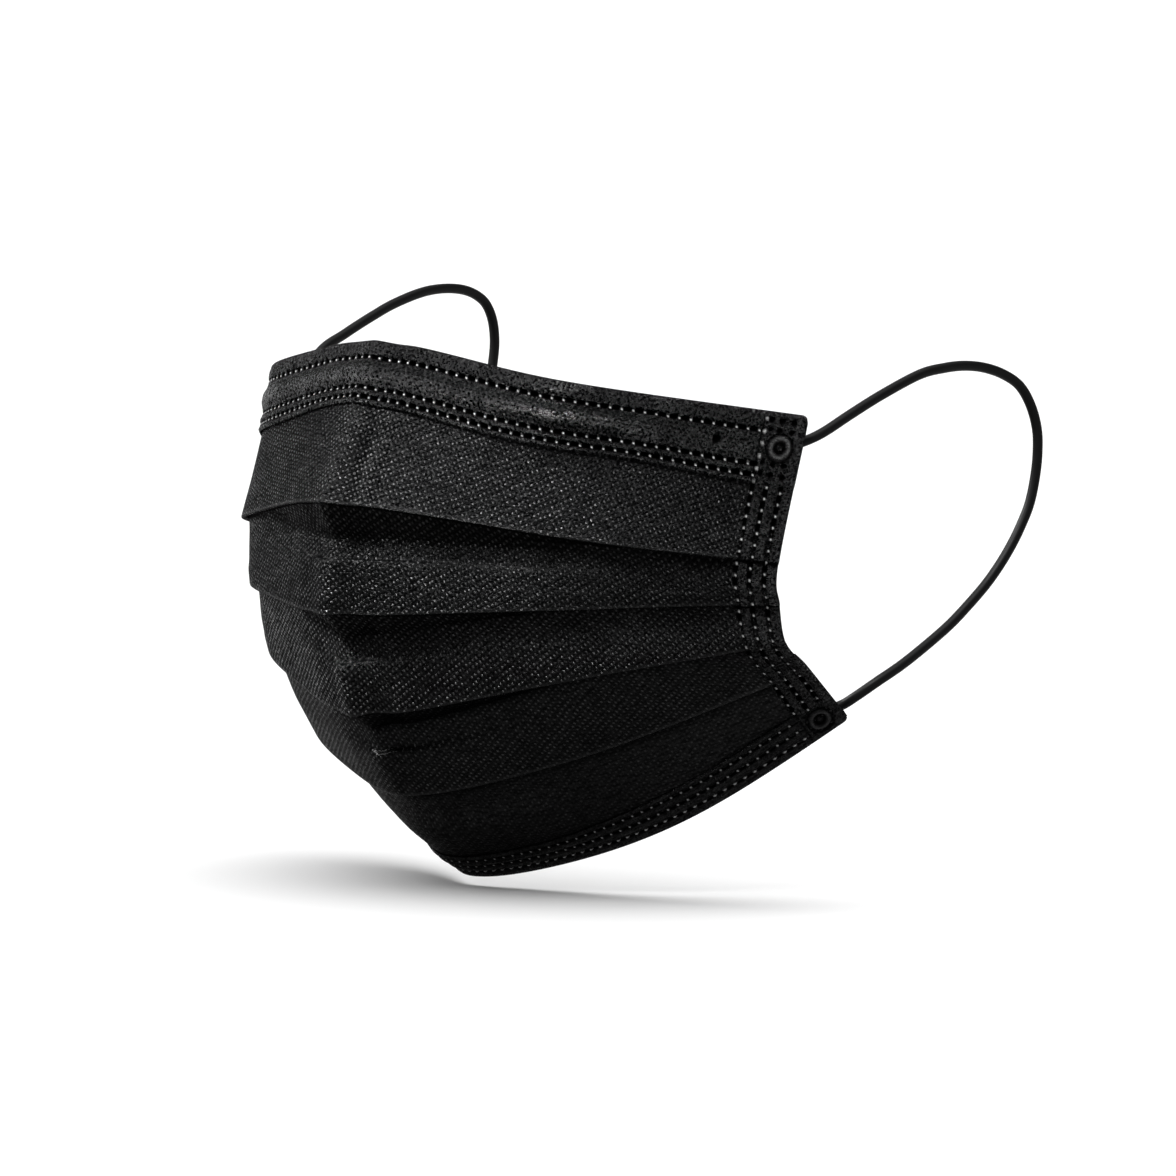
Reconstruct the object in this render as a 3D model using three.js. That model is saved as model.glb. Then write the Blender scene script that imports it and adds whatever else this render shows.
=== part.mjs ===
// Disposable pleated face mask in its worn form, millimetres, +Z up.
//
// The origin is the inside of the top fold where it sits on the bridge of the nose. The mask
// opens towards +Y, where the face goes in, and its front looks along -Y. +X is the wearer's
// left. Eight nodes: the pleated body, the top hem with its wire, the bottom hem, two welded
// side bands and two elastic ear loops.

import * as THREE from 'three';

// ---- Rows: the top edge, the four pleat folds and the bottom edge -------------------------
// ridge and side are points [y, z] and [x, y, z] in mm. A row leaves the ridge at the front
// heading, measured back from straight across, and turns to the cheek heading `turn` mm out
// from the ridge. rise is its climb per mm before that turn. right holds what differs on the
// wearer's right, where the chin is drawn in more sharply.
const ROWS = [
  { name: 'top',    ridge: [-2.1, 0],       front: 12, cheek: 50.5, turn: 38, rise: -0.23,  side: [70.5, 44.0, -13.4] },
  { name: 'fold_1', ridge: [-17.4, -30.3],  front: 28, cheek: 56,   turn: 56, rise: -0.155, side: [69.6, 36.6, -41.1] },
  { name: 'fold_2', ridge: [-16.4, -52.0],  front: 27, cheek: 53,   turn: 49, rise: 0.06,   side: [69.0, 37.5, -49.3] },
  { name: 'fold_3', ridge: [-8.8, -72.0],   front: 24, cheek: 52.5, turn: 46, rise: 0.25,   side: [68.5, 39.9, -57.1] },
  { name: 'fold_4', ridge: [3.6, -88.2],    front: 21, cheek: 50,   turn: 39, rise: 0.28,   side: [68.0, 46.8, -62.4] },
  { name: 'bottom', ridge: [24.2, -105.6],  front: 15, cheek: 46,   turn: 44, rise: 0.27,   side: [67.5, 58.8, -72.8],
    right: { front: 38, cheek: 32, turn: 30 } },
];
const LAST = ROWS.length - 1;
const RIDGE_ROUND = 5.2;    // length over which a row bends away from the nose ridge
const TURN_ROUND = 9;       // length over which it turns to the cheek
const RISE_ROUND = 12;      // length over which its climb starts

// ---- Cloth --------------------------------------------------------------------------------
const CLOTH = 1.0;          // filtering layers together
const STEP_FRONT = 1.2;     // how far a pleat fold stands out from the panel below it
const STEP_SIDE = 0.6;      // the same where the side weld presses the pleats flat
const RISER = 0.03;         // share of a panel's height that the step takes
const GAP = 0.3;            // clearance between neighbouring pieces
const BAND_GAP = 0.45;      // clearance of a side band, which steps over the pleats
const STRIP = 0.8;          // thickness of the hem strips and side bands

// ---- Hems, wire and side bands ------------------------------------------------------------
const TOP_HEM = 13.2;       // width of the top hem on the outside
const BOTTOM_HEM = 8.5;     // width of the bottom hem on the outside
const TURN_IN = 3.2;        // width of both hems on the inside
const WIRE_CENTRE = 6.8;    // nose wire's middle, down from the top fold
const WIRE_WIDTH = 3.2;
const WIRE_THICK = 0.9;
const WIRE_HALF = 60;       // half the wire's length along the hem
const CHANNEL_HALF = 2.3;   // half the width of the raised channel, and of the rise at each edge
const CHANNEL_EDGE = 0.9;
const BAND_WIDTH = 8.0;     // side bands, in from the side edge
const ARC = 90;             // half the width of the cloth, ridge to side edge

// ---- Ear loops ----------------------------------------------------------------------------
const LOOP_D = 2.0;
const LOOP_SIDES = 8;
const LOOP_STEPS = 48;

// Each route runs from the weld in the upper corner, round behind the ear, to the lower corner.
const LEFT_LOOP = [
  [64.7, 39.1, -19.3], [66.7, 42.0, -19.2], [68.2, 45.2, -18.4], [69.4, 49.2, -16.8],
  [70.2, 55.5, -13.8], [70.7, 63.9, -10.3], [71.3, 73.9, -6.8], [71.7, 80.5, -5.8],
  [72.0, 85.9, -5.6], [72.3, 91.2, -6.2], [72.6, 96.3, -7.7], [72.9, 100.6, -10.1],
  [73.1, 103.5, -13.9], [73.2, 105.2, -18.4], [73.2, 105.5, -22.7], [73.1, 105.0, -27.5],
  [73.1, 103.4, -32.9], [72.9, 101.2, -37.1], [72.8, 98.6, -40.8], [72.6, 95.4, -44.6],
  [72.3, 91.7, -48.3], [72.1, 87.1, -51.9], [71.8, 82.1, -55.5], [71.4, 76.0, -59.1],
  [71.0, 69.4, -62.6], [69.9, 63.6, -65.6], [67.4, 60.5, -68.3], [64.7, 59.0, -70.2],
  [62.5, 55.5, -71.3],
];
const RIGHT_LOOP = [
  [-65.7, 40.1, -20.8], [-66.8, 43.6, -17.1], [-68.2, 46.8, -11.8], [-69.3, 48.9, -8.5],
  [-70.0, 52.3, -6.3], [-70.3, 57.2, -4.4], [-70.5, 61.6, -2.6], [-70.8, 66.4, -0.8],
  [-71.2, 71.7, 1.0], [-71.5, 78.3, 2.7], [-71.9, 83.7, 3.5], [-72.2, 89.1, 3.6],
  [-72.5, 93.9, 3.0], [-72.7, 97.6, 1.7], [-72.9, 100.3, -0.2], [-73.0, 102.1, -3.4],
  [-73.0, 102.7, -7.4], [-73.0, 102.3, -11.4], [-72.9, 101.2, -15.8], [-72.8, 99.4, -21.0],
  [-72.6, 96.6, -27.4], [-72.4, 93.2, -33.6], [-72.2, 89.2, -39.6], [-71.9, 84.5, -45.4],
  [-71.5, 79.0, -51.2], [-71.1, 72.6, -57.0], [-70.4, 66.4, -62.0], [-69.3, 62.2, -65.6],
  [-67.4, 60.6, -68.0], [-65.1, 59.5, -69.7], [-62.6, 56.9, -70.6],
];

// ---- Materials ----------------------------------------------------------------------------
const cloth = new THREE.MeshStandardMaterial({ color: 0x17181a, roughness: 0.8, metalness: 0 });
const strip = new THREE.MeshStandardMaterial({ color: 0x1b1c1e, roughness: 0.75, metalness: 0 });
const wire = new THREE.MeshStandardMaterial({ color: 0x2a2a2b, roughness: 0.5, metalness: 0 });
const elastic = new THREE.MeshStandardMaterial({ color: 0x131315, roughness: 0.7, metalness: 0 });

// ---- Row curves ---------------------------------------------------------------------------
const radians = (degrees) => (degrees * Math.PI) / 180;
const softplus = (t) => (t > 30 ? t : Math.log1p(Math.exp(t)));

// Heading of a row, s mm out from the ridge.
function heading(row, s) {
  const bend = 0.5 * (Math.tanh((s - row.turn) / TURN_ROUND) + Math.tanh(row.turn / TURN_ROUND));
  return radians(row.front) * Math.tanh(s / RIDGE_ROUND) + radians(row.cheek - row.front) * bend;
}

// Half of a row as evenly spaced points from the ridge to the side edge, in plan and in height.
function traceRow(row, count = 180) {
  const ds = 0.25;
  const plan = [[0, 0]];
  while (plan[plan.length - 1][0] < row.side[0]) {
    const [x, y] = plan[plan.length - 1];
    const h = heading(row, (plan.length - 0.5) * ds);
    plan.push([x + ds * Math.cos(h), y + ds * Math.sin(h)]);
  }
  const length = (plan.length - 1) * ds;
  const early = (s) => Math.hypot(s, RISE_ROUND) - RISE_ROUND;
  const late = (s) => TURN_ROUND * (softplus((s - row.turn) / TURN_ROUND) - softplus(-row.turn / TURN_ROUND));
  const climb = (row.side[2] - row.ridge[1] - row.rise * early(length)) / late(length);
  const missX = row.side[0] - plan[plan.length - 1][0];
  const missY = row.side[1] - row.ridge[0] - plan[plan.length - 1][1];
  const points = [];
  for (let i = 0; i <= count; i += 1) {
    const u = i / count;
    const at = Math.min(u * (plan.length - 1), plan.length - 1.000001);
    const k = Math.floor(at);
    const f = at - k;
    const s = u * length;
    const x = plan[k][0] * (1 - f) + plan[k + 1][0] * f + missX * u * u;
    const y = row.ridge[0] + plan[k][1] * (1 - f) + plan[k + 1][1] * f + missY * u * u;
    const z = row.ridge[1] + row.rise * early(s) + climb * late(s);
    points.push(new THREE.Vector3(x, y, z));
  }
  return points;
}
const LEFT_TRACES = ROWS.map((row) => traceRow(row));
const RIGHT_TRACES = ROWS.map((row) => traceRow({ ...row, ...row.right }));

// Point of a row at u, -1 on the wearer's right edge, 0 on the ridge, 1 on the left edge.
function onRow(k, u) {
  const trace = (u < 0 ? RIGHT_TRACES : LEFT_TRACES)[k];
  const at = Math.min(Math.abs(u), 0.999999) * (trace.length - 1);
  const i = Math.floor(at);
  const p = new THREE.Vector3().lerpVectors(trace[i], trace[i + 1], at - i);
  if (u < 0) p.x = -p.x;
  return p;
}

// Point of the folded surface: v counts rows, so 1.5 is halfway down the panel below fold 1.
function surface(u, v) {
  const k = Math.min(Math.floor(v), LAST - 1);
  return onRow(k, u).lerp(onRow(k + 1, u), v - k);
}

// Outward normal, smoothed over the pleats so that a wall keeps its thickness across a fold.
function normal(u, v) {
  const across = surface(Math.min(u + 0.01, 1), v).sub(surface(Math.max(u - 0.01, -1), v));
  const down = surface(u, Math.min(v + 0.4, LAST)).sub(surface(u, Math.max(v - 0.4, 0)));
  return down.cross(across).normalize();
}

function place(u, v, w) {
  return surface(u, v).addScaledVector(normal(u, v), w);
}

// Row counts for a distance down from the top edge, or up from the bottom edge.
const fromTop = (u, t) => t / onRow(0, u).distanceTo(onRow(1, u));
const fromBottom = (u, t) => LAST - t / onRow(LAST, u).distanceTo(onRow(LAST - 1, u));

// ---- Lofted solids ------------------------------------------------------------------------
// A wall between two faces, carried through the stations u. faces(u) gives the outer and the
// inner face as lists of [v, w] pairs of the same length, v down the mask and w out from it.
function loft(stations, faces) {
  const positions = [];
  const index = [];
  const width = faces(stations[0])[0].length;
  const count = 2 * width;
  stations.forEach((u) => {
    const [outer, inner] = faces(u);
    [...outer, ...inner.reverse()].forEach(([v, w]) => positions.push(...place(u, v, w).toArray()));
  });
  for (let i = 0; i + 1 < stations.length; i += 1) {
    for (let j = 0; j < count; j += 1) {
      const next = (j + 1) % count;
      const a = i * count + j;
      const b = i * count + next;
      const c = (i + 1) * count + next;
      const d = (i + 1) * count + j;
      index.push(a, b, c, a, c, d);
    }
  }
  const end = (stations.length - 1) * count;
  for (let j = 0; j + 1 < width; j += 1) {
    const [a, b, c, d] = [j, j + 1, count - 2 - j, count - 1 - j];
    index.push(a, c, b, a, d, c);
    index.push(end + a, end + b, end + c, end + a, end + c, end + d);
  }
  const geometry = new THREE.BufferGeometry();
  geometry.setAttribute('position', new THREE.Float32BufferAttribute(positions, 3));
  geometry.setIndex(index);
  geometry.computeVertexNormals();
  return geometry;
}

// Stations across the cloth, in mm from the ridge, closest together on the ridge itself.
const HALF_STATIONS = [1.5, 3, 4.5, 6.5, 9, 12, 16, 20, 24, 28, 32, 36, 40, 44, 48, 52, 56, 60, 65, 70, 76, 83, 90];
const ACROSS = [
  ...HALF_STATIONS.map((d) => -d / ARC).reverse(),
  0,
  ...HALF_STATIONS.map((d) => d / ARC),
];

// ---- Body ---------------------------------------------------------------------------------
// How far a fold stands out at u: fully over the front, less under the side weld.
function step(u) {
  const pressed = THREE.MathUtils.smoothstep(Math.abs(u), 0.78, 0.92);
  return STEP_FRONT + (STEP_SIDE - STEP_FRONT) * pressed;
}

// Outside of the body from row a to row b: each panel leans out to its fold, then steps back.
function panels(u, a, b) {
  const out = [[a, a < 1 ? 0 : -step(u) * (1 - (a - Math.floor(a)))]];
  for (let k = 0; k < LAST; k += 1) {
    const lean = (f) => (k === 0 ? 0 : -step(u) * (1 - f));
    const stops = k === 0 ? [0.7, 1] : [RISER, 0.35, 0.7, 1];
    stops.forEach((f) => {
      if (k + f > a + 0.02 && k + f < b - 0.02) out.push([k + f, lean(f)]);
    });
  }
  out.push([b, b > LAST - 1 ? -step(u) * (LAST - b) : 0]);
  return out;
}

// Inside of the wall: close behind the cloth at both edges, behind the steps in between.
function inside(u, v) {
  const ramp = THREE.MathUtils.smoothstep(v, 0.15, 0.8) * (1 - 0.6 * THREE.MathUtils.smoothstep(v, LAST - 0.5, LAST));
  return -CLOTH - step(u) * ramp;
}

const bodyGeometry = loft(ACROSS, (u) => {
  const outer = panels(u, fromTop(u, STRIP + GAP), fromBottom(u, STRIP + GAP));
  return [outer, outer.map(([v]) => [v, inside(u, v)])];
});

// ---- Top hem: folded over the top edge, with a raised channel for the wire -----------------
const topHemGeometry = loft(ACROSS, (u) => {
  const t = (mm) => fromTop(u, mm);
  const fade = 1 - THREE.MathUtils.smoothstep(Math.abs(u) * ARC, WIRE_HALF + 1, WIRE_HALF + 6);
  const raised = (WIRE_THICK + GAP) * fade;
  const low = WIRE_CENTRE + CHANNEL_HALF;
  const high = WIRE_CENTRE - CHANNEL_HALF;
  const face = (w) => [
    [t(high - CHANNEL_EDGE), w],
    [t(high), w + raised],
    [t(low), w + raised],
    [t(low + CHANNEL_EDGE), w],
    [t(TOP_HEM), w],
  ];
  const back = (mm) => inside(u, t(mm)) - GAP;
  const outer = [
    [t(TURN_IN), back(TURN_IN) - STRIP],
    [t(0), back(0) - STRIP],
    [t(0), GAP + STRIP],
    ...face(GAP + STRIP),
  ];
  const inner = [
    [t(TURN_IN), back(TURN_IN)],
    [t(STRIP), back(STRIP)],
    [t(STRIP), GAP],
    ...face(GAP),
  ];
  return [outer, inner];
});

// ---- Nose wire: a flat strip inside the channel --------------------------------------------
const WIRE_STATIONS = ACROSS.filter((u) => Math.abs(u) * ARC <= WIRE_HALF);
const wireGeometry = loft(WIRE_STATIONS, (u) => {
  const high = fromTop(u, WIRE_CENTRE - WIRE_WIDTH / 2);
  const low = fromTop(u, WIRE_CENTRE + WIRE_WIDTH / 2);
  const outer = GAP + WIRE_THICK;
  return [[[high, outer], [low, outer]], [[high, GAP], [low, GAP]]];
});

// ---- Bottom hem: folded over the bottom edge ------------------------------------------------
const bottomHemGeometry = loft(ACROSS, (u) => {
  const t = (mm) => fromBottom(u, mm);
  const out = (mm) => -step(u) * (LAST - t(mm)) + GAP;
  const back = (mm) => inside(u, t(mm)) - GAP;
  const outer = [
    [t(BOTTOM_HEM), out(BOTTOM_HEM) + STRIP],
    [t(0), out(0) + STRIP],
    [t(0), back(0) - STRIP],
    [t(TURN_IN), back(TURN_IN) - STRIP],
  ];
  const inner = [
    [t(BOTTOM_HEM), out(BOTTOM_HEM)],
    [t(STRIP), out(STRIP)],
    [t(STRIP), back(STRIP)],
    [t(TURN_IN), back(TURN_IN)],
  ];
  return [outer, inner];
});

// ---- Side bands: welded strips that step over the pleat ends --------------------------------
function sideBandGeometry(side) {
  const stations = [1 - BAND_WIDTH / ARC, 1 - BAND_WIDTH / ARC / 2, 1];
  const ordered = side > 0 ? stations : stations.map((u) => -u).reverse();
  return loft(ordered, (u) => {
    const a = fromTop(u, TOP_HEM + 2 * GAP);
    const b = fromBottom(u, BOTTOM_HEM + 2 * GAP);
    const face = panels(u, a, b);
    return [face.map(([v, w]) => [v, w + BAND_GAP + STRIP]), face.map(([v, w]) => [v, w + BAND_GAP])];
  });
}

// ---- Ear loops: round elastic cords ---------------------------------------------------------
function loopGeometry(route) {
  const path = new THREE.CatmullRomCurve3(route.map((p) => new THREE.Vector3(...p)), false, 'centripetal');
  const section = new THREE.Shape();
  for (let i = 0; i < LOOP_SIDES; i += 1) {
    const angle = (2 * Math.PI * i) / LOOP_SIDES;
    const x = (LOOP_D / 2) * Math.cos(angle);
    const y = (LOOP_D / 2) * Math.sin(angle);
    if (i === 0) section.moveTo(x, y);
    else section.lineTo(x, y);
  }
  section.closePath();
  return new THREE.ExtrudeGeometry(section, { steps: LOOP_STEPS, extrudePath: path, curveSegments: 1 });
}

// ---- Assembly -------------------------------------------------------------------------------
const group = new THREE.Group();
group.name = 'disposable_face_mask';

function add(name, geometry, material) {
  const mesh = new THREE.Mesh(geometry, material);
  mesh.name = name;
  group.add(mesh);
}

add('mask_body', bodyGeometry, cloth);
add('top_hem', topHemGeometry, strip);
add('nose_wire', wireGeometry, wire);
add('bottom_hem', bottomHemGeometry, strip);
add('side_band_left', sideBandGeometry(1), strip);
add('side_band_right', sideBandGeometry(-1), strip);
add('ear_loop_left', loopGeometry(LEFT_LOOP), elastic);
add('ear_loop_right', loopGeometry(RIGHT_LOOP), elastic);

export default group;
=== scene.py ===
"""Disposable pleated face mask in its worn form, laid out as a Blender add-on and run as a script.

The origin is the inside of the top fold on the bridge of the nose. The mask opens towards +Y and
its front looks along -Y; +X is the wearer's left. Lengths in the code are millimetres and MM
turns them into Blender's metres.

Across the cloth, u runs from -1 on the wearer's right edge over 0 on the ridge to 1 on the left
edge. Down it, v counts the rows of ROWS. w is mm out from the surface that the rows make.
"""

from collections import namedtuple

import bpy
import numpy as np
from bpy.props import FloatProperty, FloatVectorProperty, PointerProperty
from mathutils import Matrix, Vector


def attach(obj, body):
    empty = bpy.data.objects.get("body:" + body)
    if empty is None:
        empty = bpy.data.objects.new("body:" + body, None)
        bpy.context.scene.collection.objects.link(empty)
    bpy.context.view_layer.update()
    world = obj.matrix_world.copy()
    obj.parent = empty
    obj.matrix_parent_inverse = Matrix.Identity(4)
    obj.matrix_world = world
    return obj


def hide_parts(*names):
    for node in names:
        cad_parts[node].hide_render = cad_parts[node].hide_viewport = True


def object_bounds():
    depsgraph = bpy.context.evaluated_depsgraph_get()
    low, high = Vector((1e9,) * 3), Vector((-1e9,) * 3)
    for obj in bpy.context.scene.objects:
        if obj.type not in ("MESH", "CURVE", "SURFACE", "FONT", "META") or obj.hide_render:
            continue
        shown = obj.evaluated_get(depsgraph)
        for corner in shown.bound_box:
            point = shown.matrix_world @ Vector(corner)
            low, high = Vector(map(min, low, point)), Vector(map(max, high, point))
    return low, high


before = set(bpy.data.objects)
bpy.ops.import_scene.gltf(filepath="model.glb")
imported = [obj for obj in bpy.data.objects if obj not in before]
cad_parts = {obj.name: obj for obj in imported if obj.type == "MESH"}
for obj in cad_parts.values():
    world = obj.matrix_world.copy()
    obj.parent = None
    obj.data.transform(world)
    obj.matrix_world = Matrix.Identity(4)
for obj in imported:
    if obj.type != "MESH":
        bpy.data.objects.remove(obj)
CAD_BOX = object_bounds()

bl_info = {
    "name": "Disposable Face Mask",
    "version": (1, 0, 0),
    "blender": (4, 5, 0),
    "location": "View3D > Sidebar > Face Mask",
    "description": "Builds a pleated nonwoven face mask with welded hems and elastic ear loops",
    "category": "Add Mesh",
}

MM = 0.001

# ---- Rows: top edge, four pleat folds, bottom edge (the CAD's own table)
# y, z: place of the ridge; front, cheek: headings in degrees; turn: mm from the ridge to where
# one becomes the other; rise: climb per mm before that; side: end of the row on the side edge
Row = namedtuple("Row", "y z front cheek turn rise side_x side_y side_z")
ROWS = (
    Row(-2.1, 0.0, 12, 50.5, 38, -0.23, 70.5, 44.0, -13.4),
    Row(-17.4, -30.3, 28, 56, 56, -0.155, 69.6, 36.6, -41.1),
    Row(-16.4, -52.0, 27, 53, 49, 0.06, 69.0, 37.5, -49.3),
    Row(-8.8, -72.0, 24, 52.5, 46, 0.25, 68.5, 39.9, -57.1),
    Row(3.6, -88.2, 21, 50, 39, 0.28, 68.0, 46.8, -62.4),
    Row(24.2, -105.6, 15, 46, 44, 0.27, 67.5, 58.8, -72.8),
)
LAST = len(ROWS) - 1
# the bottom edge on the wearer's right, where the chin is drawn in more sharply
BOTTOM_RIGHT = ROWS[LAST]._replace(front=38, cheek=32, turn=30)
RIDGE_ROUND = 5.2       # mm over which a row rounds the ridge
TURN_ROUND = 9.0        # mm over which it turns to the cheek
RISE_ROUND = 12.0       # mm over which it starts to climb
ARC = 90.0              # half the cloth's width, ridge to side edge

# ---- Pleats
# drop: mm from the fold down to the crease at the ridge; left, right: mm to where it closes
Pleat = namedtuple("Pleat", "drop left right")
PLEATS = (Pleat(7.0, 60, 38), Pleat(6.6, 51, 17), Pleat(5.8, 55, 16), Pleat(3.4, 40, 14))
PLEAT_DEPTH = 7.5       # depth of a closed pleat
CLOTH = 0.35            # thickness of the three layers
PANEL_GAP = 37.3        # mm between one panel's map and the next
SHADE_REACH = (0.1, 1.1, 1.7, 2.6, 3.2)     # mm of painted shade below the fold above each panel
PANEL_LEAN = (1.3, 0.8, 0.3)                # mm, how hollow the panel below a fold is
TOP_PANEL = ((1.1, 2), (4.0, 3), (9.0, 5), (14.0, 6), (19.0, 6), (23.0, 5))  # mm down, samples

# ---- Ridge: mm out, then place and reach in mm from the ridge, of its crest and two hollows
RIDGE_HILLS = ((0.5, 0.0, 1.9), (-1.1, 5.0, 3.4), (-0.5, -6.5, 3.5))

# ---- Ear loops: route from the upper weld round behind the ear to the lower weld
LOOP_D = 2.0
LEFT_LOOP = (
    (64.7, 39.1, -19.3), (66.7, 42.0, -19.2), (68.2, 45.2, -18.4), (69.4, 49.2, -16.8),
    (70.2, 55.5, -13.8), (70.7, 63.9, -10.3), (71.3, 73.9, -6.8), (71.7, 80.5, -5.8),
    (72.0, 85.9, -5.6), (72.3, 91.2, -6.2), (72.6, 96.3, -7.7), (72.9, 100.6, -10.1),
    (73.1, 103.5, -13.9), (73.2, 105.2, -18.4), (73.2, 105.5, -22.7), (73.1, 105.0, -27.5),
    (73.1, 103.4, -32.9), (72.9, 101.2, -37.1), (72.8, 98.6, -40.8), (72.6, 95.4, -44.6),
    (72.3, 91.7, -48.3), (72.1, 87.1, -51.9), (71.8, 82.1, -55.5), (71.4, 76.0, -59.1),
    (71.0, 69.4, -62.6), (69.9, 63.6, -65.6), (67.4, 60.5, -68.3), (64.7, 59.0, -70.2),
    (62.5, 55.5, -71.3),
)
RIGHT_LOOP = (
    (-65.7, 40.1, -20.8), (-66.8, 43.6, -17.1), (-68.2, 46.8, -11.8), (-69.3, 48.9, -8.5),
    (-70.0, 52.3, -6.3), (-70.3, 57.2, -4.4), (-70.5, 61.6, -2.6), (-70.8, 66.4, -0.8),
    (-71.2, 71.7, 1.0), (-71.5, 78.3, 2.7), (-71.9, 83.7, 3.5), (-72.2, 89.1, 3.6),
    (-72.5, 93.9, 3.0), (-72.7, 97.6, 1.7), (-72.9, 100.3, -0.2), (-73.0, 102.1, -3.4),
    (-73.0, 102.7, -7.4), (-73.0, 102.3, -11.4), (-72.9, 101.2, -15.8), (-72.8, 99.4, -21.0),
    (-72.6, 96.6, -27.4), (-72.4, 93.2, -33.6), (-72.2, 89.2, -39.6), (-71.9, 84.5, -45.4),
    (-71.5, 79.0, -51.2), (-71.1, 72.6, -57.0), (-70.4, 66.4, -62.0), (-69.3, 62.2, -65.6),
    (-67.4, 60.6, -68.0), (-65.1, 59.5, -69.7), (-62.6, 56.9, -70.6),
)

# ---- Hems and side bands
TOP_SEAMS = (3.6, 9.9, 11.8)      # weld rows of the top hem, down from the fold
BOTTOM_SEAMS = (2.2, 4.4, 6.5)    # weld rows of the bottom hem, up from the edge
SIDE_SEAMS = (2.5, 5.3, 8.0)      # weld columns of a side band, in from the side edge
TOP_HEM = 13.2
BOTTOM_HEM = 7.8
BAND = 8.7
STRIP = 0.3                       # thickness of a hem or band
LIP = 0.45                        # width of a hem's thinned inner border
PATCH = 8.0                       # width of the corner patches
STITCH = 2.25                     # pitch of the welds
WIRE_CENTRE = 6.8
WIRE_HALF = 60.0                  # half the wire's length
WIRE_WIDTH, WIRE_THICK = 2.6, 0.44
GRID = STITCH / 8                 # mesh size along a row of welds


# ==== Geometry ====
def smooth(x, lo, hi):
    """0 below lo, 1 above hi, and 3t^2 - 2t^3 in between."""
    t = np.clip((x - lo) / (hi - lo), 0.0, 1.0)
    return t * t * (3.0 - 2.0 * t)


def hill(x, centre, reach):
    """Round hill, 1 high at centre and 1/e high at reach from it."""
    return np.exp(-((x - centre) / reach) ** 2)


def arch(x, lo, hi):
    """Half a sine wave from lo to hi, 1 high in the middle, and 0 outside."""
    return np.sin(np.pi * np.clip((x - lo) / (hi - lo), 0, 1))


def early(d):
    """Climb of a row that starts at the ridge: a hyperbola that becomes a slope of 1."""
    return np.hypot(d, RISE_ROUND) - RISE_ROUND


def late(d, turn):
    """Climb of a row that starts at its turn: the soft corner log(1 + exp)."""
    start = np.logaddexp(0.0, -turn / TURN_ROUND)
    return TURN_ROUND * (np.logaddexp(0.0, (d - turn) / TURN_ROUND) - start)


class Form:
    """The folded surface: six rows traced from the ridge to the side edge, ruled in between."""

    def __init__(self, count=721, step=0.1):
        """A row leaves the ridge at the front heading times tanh(s / ridge round), and turns to
        the cheek heading by half a tanh step at its turn. Its height climbs by its rise from
        early on and by whatever reaches the side point after the turn."""
        s = np.arange(0.0, 130.0, step)
        grid = np.linspace(0.0, 1.0, count)
        self.grid = grid
        traces = []
        for row in (*ROWS, *ROWS[:LAST], BOTTOM_RIGHT):
            bend = 0.5 * (np.tanh((s - row.turn) / TURN_ROUND) + np.tanh(row.turn / TURN_ROUND))
            heading = np.radians(row.front) * np.tanh(s / RIDGE_ROUND)
            heading += np.radians(row.cheek - row.front) * bend
            middle = 0.5 * (heading[1:] + heading[:-1])
            x = np.concatenate(([0.0], np.cumsum(np.cos(middle) * step)))
            y = np.concatenate(([0.0], np.cumsum(np.sin(middle) * step)))
            length = np.interp(row.side_x, x, s)
            at = grid * length
            climb = row.side_z - row.z - row.rise * early(length)
            climb /= late(length, row.turn)
            py = row.y + np.interp(at, s, y)
            py += (row.side_y - py[-1]) * grid**2
            pz = row.z + row.rise * early(at) + climb * late(at, row.turn)
            traces.append(np.stack([np.interp(at, s, x), py, pz], axis=-1))
        self.traces = np.array(traces)

    def row(self, k, u):
        """Points of row k (an array of whole numbers) at u."""
        at = np.clip(np.abs(u), 0.0, 1.0) * (len(self.grid) - 1)
        i = np.minimum(at.astype(int), len(self.grid) - 2)
        f = (at - i)[..., None]
        k = k + np.where(u < 0, len(ROWS), 0)
        p = self.traces[k, i] * (1.0 - f) + self.traces[k, i + 1] * f
        p[..., 0] *= np.sign(u)
        return p

    def point(self, u, v):
        """Point between rows floor(v) and floor(v) + 1: straight over most of the cloth, and on
        a Catmull-Rom curve through four rows near the side edges."""
        k = np.clip(np.floor(v).astype(int), 0, LAST - 1)
        f = (v - k)[..., None]
        b, c = self.row(k, u), self.row(k + 1, u)
        a = np.where(k[..., None] > 0, self.row(np.maximum(k - 1, 0), u), 2 * b - c)
        d = np.where(k[..., None] < LAST - 1, self.row(np.minimum(k + 2, LAST), u), 2 * c - b)
        bend = 0.5 * f * (1.0 - f) * ((2 * b - a - c) * (1.0 - f) + (2 * c - b - d) * f)
        return b + (c - b) * f + bend * smooth(np.abs(u), 0.6, 0.9)[..., None]

    def normal(self, u, v, wide=0.01, tall=0.4):
        """Outward normal, from chords of wide in u and tall in v to either side."""
        right, left = np.maximum(u - wide, -1.0), np.minimum(u + wide, 1.0)
        above, below = np.maximum(v - tall, 0.0), np.minimum(v + tall, LAST)
        across = self.point(left, v) - self.point(right, v)
        down = self.point(u, below) - self.point(u, above)
        n = np.cross(down, across)
        return n / np.linalg.norm(n, axis=-1, keepdims=True)

    def place(self, u, v, w):
        """Point at (u, v), moved w mm out along the normal."""
        return self.point(u, v) + self.normal(u, v) * w[..., None]

    def height(self, k, u):
        """Height in mm of the panel below row k."""
        k = np.full(np.shape(u), k)
        return np.linalg.norm(self.row(k + 1, u) - self.row(k, u), axis=-1)


FORM = Form()


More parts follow.
